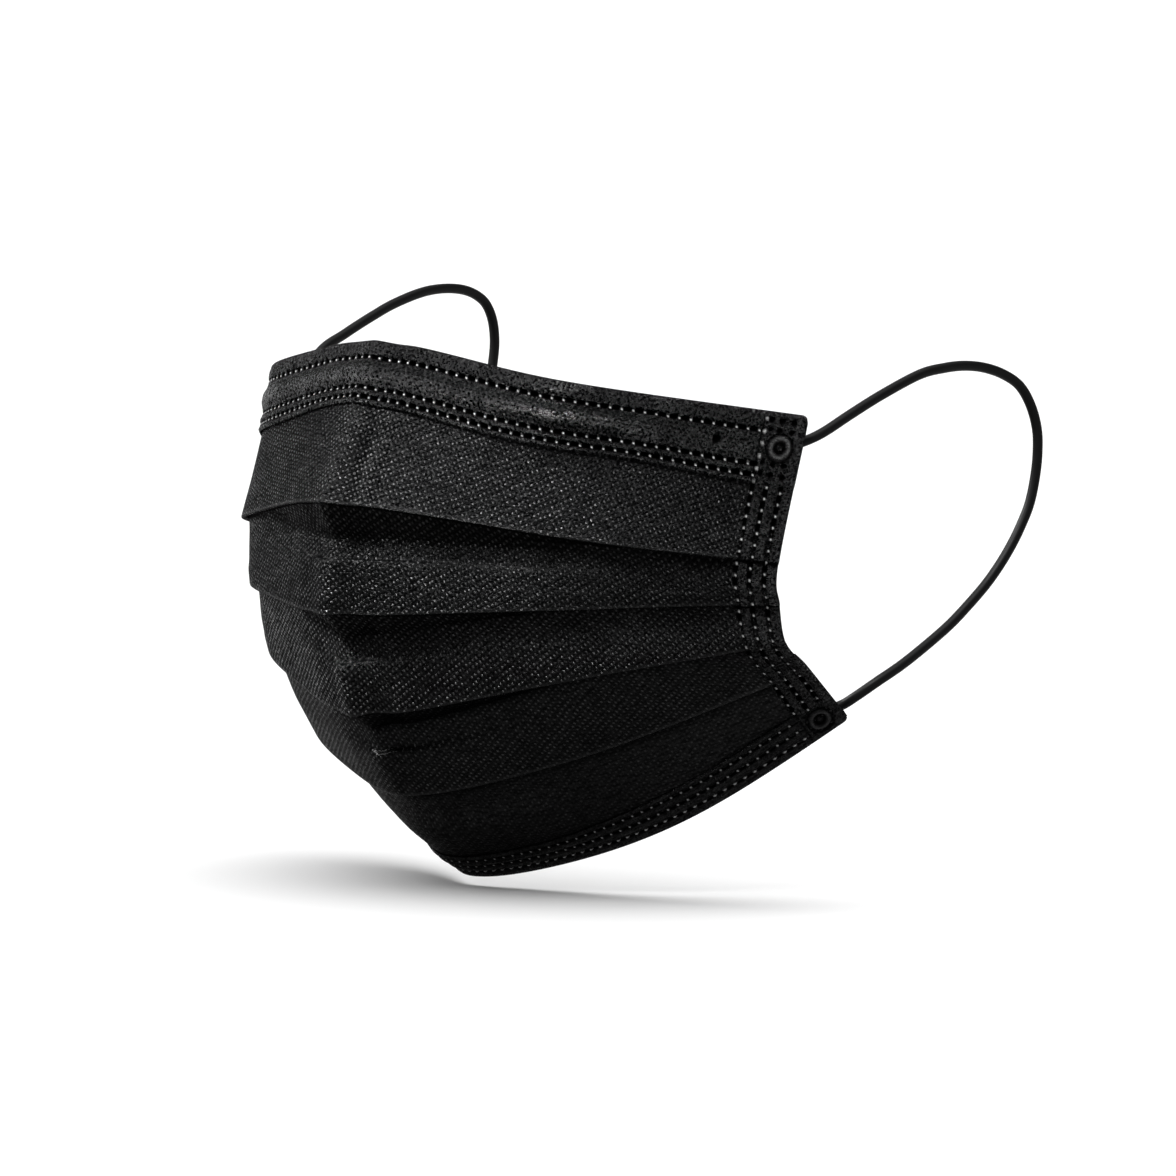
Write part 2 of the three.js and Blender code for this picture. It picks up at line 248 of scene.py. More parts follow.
def bspline(points, counts):
    """Quadratic B-spline through the middles of a control polygon, clamped at both ends.

    points is a list of arrays of control values, counts the samples of each span."""
    p = [points[0]] + list(points) + [points[-1]]
    out = []
    for j, n in enumerate(counts):
        t = np.arange(n) / n
        a, b, c = 0.5 * (1 - t) ** 2, 0.5 + t - t * t, 0.5 * t * t
        out.append(a[:, None] * p[j] + b[:, None] * p[j + 1] + c[:, None] * p[j + 2])
    out.append(0.5 * p[-2][None] + 0.5 * p[-1][None])
    return np.concatenate(out)


def add_object(name, data):
    """An object of that name in the scene, around its mesh, curve, camera or light."""
    obj = bpy.data.objects.new(name, data)
    bpy.context.scene.collection.objects.link(obj)
    return obj


def grid_mesh(name, points, cloth_mm, masks=None, tube=False):
    """Mesh of a grid of points (rows, columns, xyz in mm).

    cloth_mm is the pair of UV coordinates, mm along and mm down the cloth, and masks the values
    that the finish reads. A tube joins its last row to its first and has a cap at either end."""
    rows, cols = points.shape[:2]
    verts = (points * MM).reshape(-1, 3)
    i = np.arange(rows * cols).reshape(rows, cols)
    j = np.concatenate([i, i[:1]]) if tube else i
    a, b, c, d = j[:-1, :-1], j[:-1, 1:], j[1:, 1:], j[1:, :-1]
    corners = np.stack([a, d, c, b], axis=-1).ravel()
    starts = np.arange(0, corners.size, 4)
    if tube:
        starts = np.append(starts, [corners.size, corners.size + rows])
        corners = np.concatenate([corners, i[::-1, 0], i[:, -1]])
    mesh = bpy.data.meshes.new(name)
    mesh.vertices.add(len(verts))
    mesh.vertices.foreach_set("co", verts.ravel())
    mesh.loops.add(corners.size)
    mesh.loops.foreach_set("vertex_index", corners)
    mesh.polygons.add(len(starts))
    mesh.polygons.foreach_set("loop_start", starts)
    mesh.polygons.foreach_set("use_smooth", np.ones(len(starts), dtype=bool))
    mesh.update(calc_edges=True)
    cloth_mm = [np.broadcast_to(x, (rows, cols)) for x in cloth_mm]
    uv = np.stack(cloth_mm, axis=-1).reshape(-1, 2)[corners]
    layer = mesh.uv_layers.new(name="cloth_mm")
    layer.data.foreach_set("uv", uv.ravel())
    for key, values in (masks or {}).items():
        attribute = mesh.attributes.new(key, "FLOAT", "POINT")
        attribute.data.foreach_set("value", np.broadcast_to(values, (rows, cols)).ravel())
    return add_object(name, mesh)


def thicken(obj, thickness):
    """Gives a sheet its wall, inwards from the modelled face."""
    solid = obj.modifiers.new("wall", "SOLIDIFY")
    solid.thickness = thickness * MM
    solid.offset = -1.0
    solid.use_even_offset = False
    return obj


def lit_pieces():
    """Collection of the pieces that the front lights reach; the floor is left out of it."""
    return bpy.data.collections.get("lit_pieces") or bpy.data.collections.new("lit_pieces")


def finish_piece(obj, material, node):
    """Material, body, the collection that the front lights reach and the CAD node that a piece
    stands for.
    """
    obj.data.materials.append(material)
    lit_pieces().objects.link(obj)
    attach(obj, "root")
    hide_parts(node)
    return obj


# ---- Body
def stations(count):
    """count values of u across the cloth, closest together on the ridge."""
    t = np.linspace(-1.0, 1.0, count)
    return np.sign(t) * (0.55 * np.abs(t) + 0.45 * np.abs(t) ** 2)


def ridge_relief(s):
    """mm that the cloth stands out on the ridge and sinks on either side of it."""
    return sum(out * hill(s, centre, reach) for out, centre, reach in RIDGE_HILLS)


def painted_ridge_highlight(s, peak):
    """Painted highlight on the crest: how much lighter and glossier its dots are drawn than the
    cloth beside it, by peak at the most.
    """
    return 1.0 + peak * hill(s, -1.5, 2.8)


def hollow_shade(s):
    """Painted shade in the hollow on the wearer's left of the ridge: how much darker and smoother
    the cloth is drawn there.
    """
    return 0.9 * hill(s, 6.5, 4.2)


def chin_bulge(s):
    """Share of the chin's outward swell at s mm from the ridge."""
    return 1.0 - smooth(np.abs(s), 22.0, 45.0)


def crease_offset(k, s):
    """Place of the crease under fold k + 1, mm below the fold line.

    It falls evenly from the ridge to where the pleat closes, then runs up behind the panel,
    no further than half of that panel's height."""
    pleat = PLEATS[k]
    close = np.where(s >= 0, pleat.left, pleat.right)
    a = np.abs(s)
    c = pleat.drop * (1.0 - a / close)
    depth = np.minimum(PLEAT_DEPTH, 0.5 * FORM.height(k, s / ARC))
    hidden = -depth * smooth(a, close - 4.0, close + 22.0)
    return np.where(a < close, c, 0.0) + hidden


def pleat_outline(k, s, press):
    """Control polygon (mm below the fold line, mm out) of the Z fold under panel k.

    An open pleat steps in and runs down to its crease; a closed one turns up behind the panel,
    turns again at the crease and comes down behind both layers. press flattens both."""
    crease = crease_offset(k, s)
    share = smooth(crease, -2.5, 1.2)
    up = np.maximum(-crease, 0.5)
    down = np.maximum(crease, 0.9)
    deep = 0.3 * np.maximum(crease, 0.0)
    lip = ((-3.0, 0.0), (-0.9, 0.02), (0.0, 0.05))
    opened = (
        *lip, (0.26, -0.28), (0.25, -0.75), (0.25 + 0.2 * down, -1.0 - 0.15 * deep),
        (0.2 + 0.5 * down, -1.2 - 0.5 * deep), (down - 0.5, -1.4 - 0.95 * deep),
        (down, -1.6 - deep), (down + 0.6, -1.55 - 0.93 * deep), (down + 1.8, -1.4 - 0.8 * deep),
        (down + 3.4, -1.25 - 0.6 * deep), (down + 4.6, -1.15 - 0.45 * deep),
    )
    closed = (
        *lip, (0.26, -0.3), (-0.1, -0.74), (-0.3 * up, -0.78), (-0.65 * up, -0.82),
        (0.5 - up, -0.88), (-up, -1.2), (0.5 - up, -1.5), (-0.5 * up, -1.52), (-0.3, -1.52),
        (1.6, -1.42),
    )
    out = []
    for (t_open, w_open), (t_shut, w_shut) in zip(opened, closed):
        t = t_open * share + t_shut * (1 - share)
        out.append((t, (w_open * share + w_shut * (1 - share)) * press))
    return out


def body_outline(u):
    """v and w of the pleated sheet from the top edge to the bottom edge, in rows.

    A B-spline runs down the top panel, round each fold, down the two middles of each panel and
    over the chin's swell. The pleats are pressed flat under the side bands."""
    s = u * ARC
    press = 1.0 - 0.62 * smooth(np.abs(s), 76.0, 83.0)
    heights = [FORM.height(k, u) for k in range(LAST)]
    points, counts = [], []

    def add(v, w, n):
        points.append(np.stack([v, w]))
        counts.append(n)

    zero = np.zeros_like(u)
    for t, n in TOP_PANEL:
        add(t / heights[0], zero - 0.12, n)
    spans = (4, 3, 3, 3, 2, 2, 2, 2, 3, 3, 3, 3, 3)
    for k in range(LAST - 1):
        for (t, w), n in zip(pleat_outline(k, s, press), spans):
            h = np.where(t < 0, heights[k], heights[k + 1])
            add(k + 1 + t / h, w, n)
        if k < len(PANEL_LEAN):
            lean = PANEL_LEAN[k] * press
            add(k + 1 + 0.50 + zero, -lean * 0.48, 5)
            add(k + 1 + 0.68 + zero, -lean * 0.26, 5)
    chin = chin_bulge(s)
    add(LAST - 1 + 0.42 + zero, (2.0 * chin - 0.8) * press, 6)
    add(LAST - 1 + 0.62 + zero, (1.4 * chin - 0.7) * press, 4)
    add(LAST - 7.6 / heights[-1], (0.85 * chin - 0.45) * press, 4)
    add(LAST - 1.1 / heights[-1], -0.55 * press, 2)
    flat = bspline([p.reshape(-1) for p in points], counts)
    flat = flat.reshape(len(flat), 2, len(u))
    return flat[:, 0], flat[:, 1]


def body_surface(count):
    """Points of the pleated sheet, its map (mm across, mm below each panel's fold) and masks.

    The masks paint light and shade. Painted shade lies on the strip from each fold down to its
    crease, which the closed pleat hid, on a thin line under each fold and in the hollow beside
    the ridge, and a painted highlight on the border above each fold. The scale of the bond dots
    is more on the ridge and the third panel and less below it, which paints a highlight on the
    ridge and the third panel and shade on the panels below."""
    u = stations(count)
    v, w = body_outline(u)
    s = u * ARC
    w = w + ridge_relief(s) * (0.6 + 0.4 * smooth(v, 0.45, 0.7)) * (1.0 - smooth(v, 3.0, 4.2))
    points = FORM.place(np.broadcast_to(u, v.shape), v, w)

    panel = np.clip(np.floor(v), 0, LAST - 1).astype(int)
    heights = np.array([FORM.height(k, u) for k in range(LAST)])
    tall = np.take_along_axis(heights, panel, axis=0)
    below = (v - panel) * tall
    creases = [np.full_like(s, -9.0)] + [crease_offset(k, s) for k in range(LAST - 1)]
    crease = np.take_along_axis(np.array(creases), panel, axis=0)
    # painted shade on the strip from each fold down to its crease
    painted_shade = smooth(below, 0.1, 0.4) * (1.0 - smooth(below, crease + 0.2, crease + 2.2))
    painted_shade *= smooth(crease, 0.3, 1.0)
    reach = np.array(SHADE_REACH)[panel]
    # painted shade: a thin dark line just under each fold, longer on the lower panels
    line = smooth(below, 0.02, 0.15) * (1.0 - smooth(below, 0.4 * reach, reach)) * (panel > 0)
    # painted highlight on the border just above each fold
    painted_fold_highlight = smooth(below, tall - 0.9, tall - 0.35) * (panel < LAST - 1)

    # the dot scale also paints a highlight on the ridge, most on the first panel, and on the third
    # panel, and shade on the panels below it
    first = 1.0 - smooth(v, 1.0, 1.2)
    third = smooth(v, 2.0, 2.2) - smooth(v, 2.9, 3.1)
    dot_scale_and_painted_light = 1.0 + 0.5 * third - 0.3 * smooth(v, 2.9, 3.1) - 0.35 * smooth(v, 3.9, 4.1)
    dot_scale_and_painted_light = dot_scale_and_painted_light * painted_ridge_highlight(s, 0.2 + 1.1 * first)
    # painted shade in the hollow beside the ridge, strongest on the first panel
    hollow = hollow_shade(s) * (0.35 + 0.65 * first)
    masks = {"painted_shade": np.maximum(np.maximum(painted_shade, line), hollow), "dot_scale_and_painted_light": dot_scale_and_painted_light, "painted_fold_highlight": painted_fold_highlight}
    return points, (s, below + PANEL_GAP * panel), masks


# ---- Welds
def weld_row(along, across, phase=0, slot=1.6, width=0.86, bead=(0.2, 0.18), shift=0.12):
    """A row of weld slots with a bead between each two.

    along and across are mm along the row and off it, and phase is in eighths of the pitch.
    Returns the depth of the slots and the height of the beads (0 to 1), which also mark painted
    shade in the slots and a painted glint on the beads, and the shallow groove that both sit in.
    shift moves the beads, and so their painted glint, off the middle of the row."""
    cell = (along / STITCH + phase / 8.0) % 1.0
    x = (cell - 0.5) * STITCH
    square = (np.abs(x) / (slot / 2)) ** 4 + (np.abs(across) / (width / 2)) ** 4
    pit = 1.0 - smooth(square, 0.6, 1.4)
    x = (0.5 - np.abs(cell - 0.5)) * STITCH
    drop = 1.0 - smooth(np.hypot(x / bead[0], (across - shift) / bead[1]), 0.35, 1.15)
    groove = 1.0 - smooth(np.abs(across), 0.2, 0.9)
    return pit, drop, groove


def dense_rows(lo, hi, seams, step=0.42, fine=0.17, reach=0.72):
    """Distances from lo to hi, step apart, and fine apart within reach of a seam."""
    at = [lo]
    while at[-1] < hi - 1e-6:
        near = min(abs(at[-1] - seam) for seam in seams) < reach
        at.append(min(at[-1] + (fine if near else step), hi))
    return np.array(at)


def ring_weld(x, y, radius=2.0):
    """Round weld: a ring standing up in a sunken moat, with a low hub in its hollow middle.

    x and y are mm from its middle. Returns height in mm, the pit mask, which is painted shade in
    the moat and the hollow middle, and the bead mask, a painted glint on the ring."""
    r = np.hypot(x, y)
    ring = hill(r, radius * 0.86, 0.3)
    moat = hill(r, radius * 1.25, 0.26)
    hollow = hill(r, radius * 0.46, 0.36)
    height = 0.3 * ring - 0.25 * moat - 0.3 * hollow - 0.08 * hill(r, 0.0, 0.5)
    return height, np.clip(hollow + 0.85 * moat, 0, 1), ring


def weld_dots(x, y, places, radius=0.46):
    """Round weld dots at the given places (mm, mm, size); returns the pit mask, which sinks them
    and paints shade in them.
    """
    out = np.zeros_like(x)
    for px, py, size in places:
        r = np.hypot(x - px, y - py) / (radius * size)
        out = np.maximum(out, 1.0 - smooth(r, 0.55, 1.15))
    return out


class Strip:
    """A welded strip on a grid. Its features add to w and to the masks pit, painted shade, and
    bead, a painted glint.

    outer is the share of each feature that shows: 1 on the outer face, 0 behind it."""

    def __init__(self, w, outer):
        self.w = w
        self.outer = outer
        self.pit = np.zeros_like(w)
        self.bead = np.zeros_like(w)

    def mark(self, pit, bead=0.0):
        """Adds painted shade to pit and a painted glint to bead; the masks keep the larger value.
        """
        self.pit = np.maximum(self.pit, pit * self.outer)
        self.bead = np.maximum(self.bead, bead * self.outer)

    def seam(self, row, depths, share=1.0, light=1.0):
        """A weld_row, with the depths in mm of its groove and slots and the height of its
        beads. share says where it shows, and light how bright the painted glint on its beads is."""
        pit, bead, groove = row
        dip, slot, rise = depths
        self.w += self.outer * share * (rise * bead - dip * groove - slot * pit)
        self.mark(pit * share, light * bead * share)

    def puff(self, t, lo, hi, rise):
        """Swells the strip by rise mm between the seams at lo and hi."""
        self.w += self.outer * rise * arch(t, lo, hi)

    def dots(self, pit, depth, shade=1.0):
        """Sunken weld dots, darkened with painted shade as strong as shade."""
        self.w -= self.outer * depth * pit
        self.mark(shade * pit)

    def ring(self, x, y, light):
        """A ring weld with its middle at x = y = 0: painted shade in its moat and middle, and a
        painted glint on the ring as bright as light.
        """
        height, pit, ring = ring_weld(x, y)
        self.w += self.outer * height
        self.mark(pit, light * ring)

    def masks(self, dot_scale_and_painted_light):
        return {"pit": self.pit, "bead": self.bead, "dot_scale_and_painted_light": dot_scale_and_painted_light}


class Hem(Strip):
    """A strip folded over the top or bottom edge.

    down is mm in from the folded edge, along mm from the ridge and edge mm in from the side
    edge, and between is 1 between the corner patches."""

    def __init__(self, face, turn_radius, outer_w, inner_w):
        self.u = np.linspace(-1.0, 1.0, int(round(2 * ARC / GRID)) + 1)
        down, w, outer = hem_profile(face, turn_radius, outer_w, inner_w)
        self.shape = (len(down), len(self.u))
        self.down = np.broadcast_to(down[:, None], self.shape)
        self.along = np.broadcast_to(self.u * ARC, self.shape)
        self.edge = ARC - np.abs(self.along)
        self.between = smooth(self.edge, PATCH - 0.2, PATCH + 0.3)
        w = np.broadcast_to(w[:, None], self.shape).copy()
        super().__init__(w, outer[:, None] * smooth(self.down, 0.8, 1.5))

    def points(self, v):
        """The hem's points at v, given for every row of the grid."""
        return FORM.place(np.broadcast_to(self.u, self.shape), v, self.w)


def hem_profile(face, turn_radius, outer_w, inner_w):
    """Profile of a strip folded over an edge: (mm in from the edge, w, share of outer face).

    It runs in from the end of the outer face over a half round to an inner leg."""
    turn = np.linspace(0.0, np.pi, 9)
    leg = np.linspace(1.0, 3.2, 4)
    middle, half = 0.5 * (outer_w + inner_w), 0.5 * (outer_w - inner_w)
    down = np.concatenate([face[::-1], 0.8 - turn_radius * np.sin(turn), leg])
    w = np.concatenate([np.full(len(face), outer_w), middle + half * np.cos(turn),
                        np.full(len(leg), inner_w)])
    outer = np.concatenate([np.ones(len(face)), np.zeros(len(turn) + len(leg))])
    return down, w, outer


def round_corner(edge, t, radius=1.3):
    """mm by which the folded edge draws in near a side edge, so that the corner is round."""
    x = np.clip(radius - edge, 0.0, radius)
    return (radius - np.sqrt(radius * radius - x * x)) * np.clip(1.0 - t / 6.0, 0.0, 1.0)


# ---- Top hem
TOP_DOTS = (  # mm in from the side edge, mm down, size
    (7.0, 1.75, 1.5), (4.9, 1.8, 1.5), (2.6, 1.85, 1.45), (6.9, 3.5, 1.1), (5.1, 3.6, 1.2),
    (2.7, 3.7, 1.1), (7.1, 9.4, 1.05), (5.0, 9.7, 1.15), (2.9, 9.6, 1.15), (7.1, 11.4, 1.1),
    (5.1, 11.5, 1.15), (2.7, 11.7, 1.2),
)
TOP_PUFFS = (  # between two seams, mm out
    (0.6, TOP_SEAMS[0], 0.16), (TOP_SEAMS[0], TOP_SEAMS[1], 0.12),
    (TOP_SEAMS[1], TOP_SEAMS[2], 0.16), (TOP_SEAMS[2], TOP_HEM, 0.1),
)
TOP_RING = (4.4, 6.7)             # mm in from the side edge, mm down
HOLE = (73.2, 6.6)                # mm to the left of the ridge, mm down


def top_hem_surface():
    """Strip folded over the top edge, with the wire's channel: (points, map, masks)."""
    face = dense_rows(0.9, TOP_HEM, (1.75, *TOP_SEAMS), step=0.36)
    hem = Hem(face, 0.78, 0.64, -0.92)
    down, along, edge = hem.down, hem.along, hem.edge
    for lo, hi, rise in TOP_PUFFS:
        hem.puff(down, lo, hi, rise)
    # the wire's channel, flatter on the wearer's right
    over_wire = 1.0 - smooth(np.abs(along), WIRE_HALF - 8.0, WIRE_HALF + 7.0)
    over_wire = over_wire * (1.0 - smooth(np.abs(down - WIRE_CENTRE), 0.5, 2.3))
    hem.w += hem.outer * (0.5 + 0.4 * smooth(along, -30.0, 0.0)) * over_wire
    # the first seam falls away from the edge towards the sides
    fall = 0.3 * smooth(np.abs(along), 40.0, 90.0)
    for n, at in enumerate(TOP_SEAMS):
        row = weld_row(along, down - at - (fall if n == 0 else 0.0), phase=3 * n)
        hem.seam(row, (0.14, 0.45, 0.16), hem.between)
    # corner patches: a border of dashes with a painted glint and a painted shadow line just outside
    # it, dots and a ring weld
    pit, bead, groove = weld_row(down, edge - PATCH, phase=2, slot=1.2, width=0.4,
                                 bead=(0.5, 0.2), shift=0.0)
    line = smooth(down, 1.0, 1.6)
    hem.w += hem.outer * line * (0.1 * groove - 0.2 * pit + 0.1 * bead)
    hem.mark(0.8 * line * (1.0 - smooth(np.abs(edge - PATCH - 0.42), 0.1, 0.35)), 0.8 * bead * line)
    hem.dots(weld_dots(edge, down, TOP_DOTS) * (1.0 - hem.between), 0.45)
    hem.ring(edge - TOP_RING[0], down - TOP_RING[1], 0.1)
    hem.w -= hem.outer * 0.3 * smooth(down, TOP_HEM - LIP, TOP_HEM)
    # punched hole beyond the end of the wire, on the left only, with painted shade in it
    hem.dots(1.0 - smooth(np.hypot(along - HOLE[0], down - HOLE[1]), 0.6, 0.98), 0.62)
    hem.w += 0.6 * ridge_relief(along)
    # painted highlight along the wire's channel and on the ridge, carried by the dot scale
    dot_scale_and_painted_light = (1.0 + 1.3 * hem.outer * over_wire) * painted_ridge_highlight(along, 1.8)
    points = hem.points((down + round_corner(edge, down)) / FORM.height(0, hem.u))
    masks = {key: mask[::-1] for key, mask in hem.masks(dot_scale_and_painted_light).items()}
    return points[::-1], (along, down[::-1]), masks


def wire_surface():
    """Flat coated wire in the channel: an ellipse carried along the top edge, closed to a point
    by a half round at both ends."""
    s = np.linspace(-WIRE_HALF, WIRE_HALF, 161)
    turn = np.linspace(0.0, 2.0 * np.pi, 16, endpoint=False)[:, None]
    half = WIRE_WIDTH / 2
    near_end = np.clip((np.abs(s) - WIRE_HALF + half) / half, 0.0, 1.0)
    end = np.sqrt(1.01 - near_end**2)[None]
    down = WIRE_CENTRE + half * end * np.sin(turn)
    w = 0.62 + WIRE_THICK / 2 * end * np.cos(turn) + 0.6 * ridge_relief(s)
    u = np.broadcast_to(s / ARC, down.shape)
    return FORM.place(u, down / FORM.height(0, u), w), (s, down)


# ---- Bottom hem
BOTTOM_DOTS = (  # mm in from the side edge, mm up, size
    (6.6, 6.4, 0.8), (5.4, 6.7, 0.7), (4.2, 6.7, 0.7), (3.0, 6.5, 0.8), (2.1, 5.4, 0.8),
    (1.9, 4.2, 0.8), (2.0, 3.0, 0.8), (2.9, 1.8, 0.8), (4.2, 1.5, 0.7), (5.6, 1.6, 0.8),
    (6.7, 2.2, 0.8), (6.9, 3.4, 0.7), (6.9, 5.0, 0.7),
)
BOTTOM_BEADS = (  # size, brightness of the painted glint, mm off the seam
    ((0.4, 0.2), 0.85, 0.0), ((0.25, 0.2), 0.65, 0.05), ((0.25, 0.2), 0.65, 0.05),
)
BOTTOM_RING = (4.5, 4.1)          # mm in from the side edge, mm up


def bottom_hem_surface():
    """Strip folded over the bottom edge: (points, map, masks)."""
    hem = Hem(dense_rows(0.9, BOTTOM_HEM, BOTTOM_SEAMS, step=0.3), 0.7, 0.05, -1.42)
    up, along, edge = hem.down, hem.along, hem.edge
    for n, (at, (size, light, shift)) in enumerate(zip(BOTTOM_SEAMS, BOTTOM_BEADS)):
        row = weld_row(along, at - up, phase=2 * n, slot=1.4, width=0.66, bead=size, shift=shift)
        hem.seam(row, (0.2, 0.4, 0.14), hem.between, light)
    for lo, hi in zip((0.0, *BOTTOM_SEAMS), (*BOTTOM_SEAMS, BOTTOM_HEM)):
        hem.puff(up, lo, hi, 0.13)
    hem.w += 0.85 * chin_bulge(along) * smooth(up, 1.0, 7.0)
    # corner patch: a frame standing up with a groove outside it, painted shade in the groove, pits
    # and a ring weld
    border = hill(edge, PATCH - 0.5, 0.3)
    groove = hill(edge, PATCH, 0.2)
    hem.w += hem.outer * (0.16 * border - 0.2 * groove)
    hem.mark(0.7 * groove)
    hem.dots(weld_dots(edge, up, BOTTOM_DOTS) * (1.0 - hem.between), 0.35, 0.9)
    hem.ring(edge - BOTTOM_RING[0], up - BOTTOM_RING[1], 0.05)
    hem.w -= hem.outer * 0.3 * smooth(up, BOTTOM_HEM - LIP, BOTTOM_HEM)
    v = LAST - (up + round_corner(edge, up)) / FORM.height(LAST - 1, hem.u)
    return hem.points(v), (along, up), hem.masks(0.3)


# ---- Side bands
BAND_MIDDLE = 0.97                # u of the line down the band that its welds are spaced along


def band_rows(heights):
    """v of a side band's rows from under the top hem to under the bottom hem, with two more
    just under each fold. heights are the panels' heights in mm."""
    v = [np.linspace((TOP_HEM - 0.6) / heights[0], 1.0, 85)]
    for k in range(1, LAST):
        end = k + 1.0 if k < LAST - 1 else LAST - (BOTTOM_HEM - 0.6) / heights[k]
        count = int((end - k) * heights[k] / 0.2)
        v.append(k + np.array([0.15, 0.3]) / heights[k])
        v.append(np.linspace(k + 0.5 / heights[k], end, count))
    return np.concatenate(v)


def side_band_surface(side):
    """Cloth pressed flat along the side edge: (points, map, masks).

    It steps in under each fold, where a thin line of painted shade crosses it, and leans out
    again to the next; three weld columns cross it."""
    columns = side * (1.0 - dense_rows(0.0, BAND, SIDE_SEAMS, step=0.3) / ARC)
    middle = np.array([BAND_MIDDLE * side])
    heights = [float(FORM.height(k, middle)[0]) for k in range(LAST)]
    u, v = np.meshgrid(np.sort(columns), band_rows(heights))
    k = np.clip(np.ceil(v - 1e-9) - 1, 0, LAST - 1).astype(int)
    below = (v - k) * np.array(heights)[k]
    edge = ARC * (1.0 - np.abs(u))
    line = FORM.point(np.full(len(v), middle[0]), v[:, 0])
    steps = np.linalg.norm(np.diff(line, axis=0), axis=-1)
    down = np.broadcast_to(np.concatenate([[0.0], np.cumsum(steps)])[:, None], u.shape)
    lean = np.where(k == 0, 0.0, -0.5 * (1.0 - (v - k))) * smooth(below, 0.0, 0.3)
    band = Strip(0.5 + lean, 1.0)
    # painted shade: a thin dark line across the band just under each fold
    band.mark(np.where(k == 0, 0.0, 0.8 * (1.0 - smooth(np.abs(below - 0.2), 0.05, 0.35))))
    for n, at in enumerate(SIDE_SEAMS):
        row = weld_row(down, at - edge, phase=3 * n + 1, slot=1.5, width=0.85,
                       bead=(0.27, 0.19), shift=0.05)
        band.seam(row, (0.12, 0.42, 0.16))
    for lo, hi in zip((0.0, *SIDE_SEAMS), SIDE_SEAMS):
        band.puff(edge, lo, hi, 0.15)
    band.w -= 0.55 * smooth(edge, BAND - 0.55, BAND) + 0.2 * (1.0 - smooth(edge, 0.0, 0.4))
    return FORM.place(u, v, band.w), (edge, down), band.masks(0.8)


# ---- Ear loops
def smooth_route(route, per=8):
    """Catmull-Rom curve through the route's points, per samples to a span."""
    p = np.array(route)
    p = np.concatenate([[2 * p[0] - p[1]], p, [2 * p[-1] - p[-2]]])
    t = (np.arange(per) / per)[:, None, None]
    a, b, c, d = p[:-3], p[1:-2], p[2:-1], p[3:]
    square, cube = 2 * a - 5 * b + 4 * c - d, 3 * b - a - 3 * c + d
    q = 0.5 * (2 * b + (c - a) * t + square * t**2 + cube * t**3)
    return np.concatenate([q.transpose(1, 0, 2).reshape(-1, 3), p[-2:-1]])


def add_loop(name, route, material, node):
    """Round elastic cord along its route."""
    path = smooth_route(route) * MM
    curve = bpy.data.curves.new(name, "CURVE")
    curve.dimensions = "3D"
    curve.bevel_depth = LOOP_D / 2 * MM
    curve.bevel_resolution = 6
    curve.use_fill_caps = True
    spline = curve.splines.new("POLY")
    spline.points.add(len(path) - 1)
    weights = np.ones((len(path), 1))
    spline.points.foreach_set("co", np.concatenate([path, weights], axis=1).ravel())
    spline.use_smooth = True
    obj = add_object(name, curve)
    finish_piece(obj, material, node)
    return obj


# ==== Materials ====
def add_node(tree, kind, settings=None, inputs=None):
    """A node of that kind: its settings first, then the values or links of its sockets."""
    made = tree.nodes.new(kind)
    for key, value in (settings or {}).items():
        setattr(made, key, value)
    for key, value in (inputs or {}).items():
        plug(tree, made.inputs[key], value)
    return made


def plug(tree, socket, value):
    """Links a socket or a Value, or sets a plain number or colour."""
    if isinstance(value, Value):
        tree.links.new(value.socket, socket)
    elif isinstance(value, bpy.types.NodeSocket):
        tree.links.new(value, socket)
    else:
        socket.default_value = value


class Value:
    """A float socket; arithmetic on it adds Math nodes."""

    def __init__(self, tree, socket):
        self.tree, self.socket = tree, socket

    def math(self, operation, *others):
        inputs = dict(enumerate((self, *others)))
        made = add_node(self.tree, "ShaderNodeMath", {"operation": operation}, inputs)
        return Value(self.tree, made.outputs[0])

    def __add__(self, other):
        return self.math("ADD", other)

    def __sub__(self, other):
        return self.math("SUBTRACT", other)

    def __rsub__(self, other):
        return self.math("MULTIPLY_ADD", -1.0, other)

    def __mul__(self, other):
        return self.math("MULTIPLY", other)

    __radd__ = __add__
    __rmul__ = __mul__

    def positive(self):
        return self.math("MAXIMUM", 0.0)

    def ridges(self, sharp):
        """1 on the lines where the value is 0.5, and 0 where it is 1 / sharp off that."""
        return 1.0 - ((self - 0.5).math("ABSOLUTE") * sharp).math("MINIMUM", 1.0)

    def step(self, lo, hi):
        """Smooth step from 0 at lo to 1 at hi."""
        made = add_node(self.tree, "ShaderNodeMapRange", {"interpolation_type": "SMOOTHSTEP"},
                        {"Value": self, "From Min": lo, "From Max": hi})
        return Value(self.tree, made.outputs["Result"])


